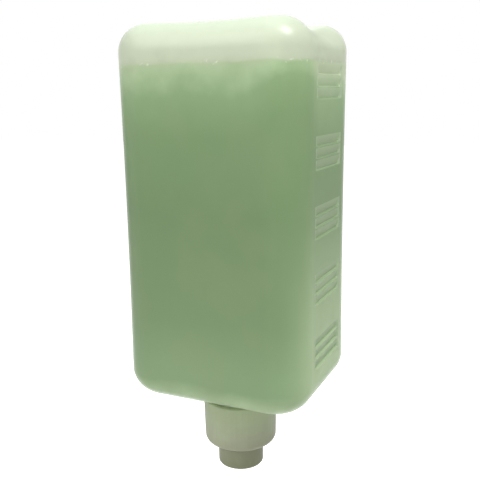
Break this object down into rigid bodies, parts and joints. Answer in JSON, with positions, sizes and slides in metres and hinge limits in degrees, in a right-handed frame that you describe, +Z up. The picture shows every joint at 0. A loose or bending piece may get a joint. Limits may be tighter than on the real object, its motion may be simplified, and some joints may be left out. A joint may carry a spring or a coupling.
{
  "type": "hand soap refill pack",
  "caption": "Square translucent bottle of liquid hand soap, held neck down, with a piston pump in its neck and a pull-off dust cap over the nozzle.",
  "frame": {"origin": "on the pump's axis, in the flat end face of the pump's collar, by which a dispenser holds the pack", "axes": "+Z up along the pump's axis, from the nozzle towards the bottle's base; +X across the width, towards one ribbed side panel; +Y towards the back, which is like the front"},
  "size_m": [0.09, 0.078, 0.2133],
  "materials": {
    "bottle": "translucent natural polyethylene, blow moulded",
    "soap": "pearly green liquid",
    "pump_housing": "translucent natural polypropylene",
    "neck_gasket": "grey closed-cell foam",
    "inlet_valve": "soft clear silicone",
    "piston": "white polyethylene",
    "dust_cap": "translucent polypropylene"
  },
  "bodies": {
    "refill": {"bottle": "bottle", "soap": "soap", "pump_housing": "pump_housing", "neck_gasket": "neck_gasket", "inlet_valve": "inlet_valve"},
    "piston": {"piston": "piston"},
    "dust_cap": {"dust_cap": "dust_cap"}
  },
  "joints": [
    {"name": "piston_stroke", "type": "slide", "parent": "refill", "child": "piston", "axis": [0, 0, 1], "range_m": [0, 0.0075]},
    {"name": "dust_cap_pull", "type": "slide", "parent": "refill", "child": "dust_cap", "axis": [0, 0, -1], "range_m": [0, 0.02]}
  ]
}
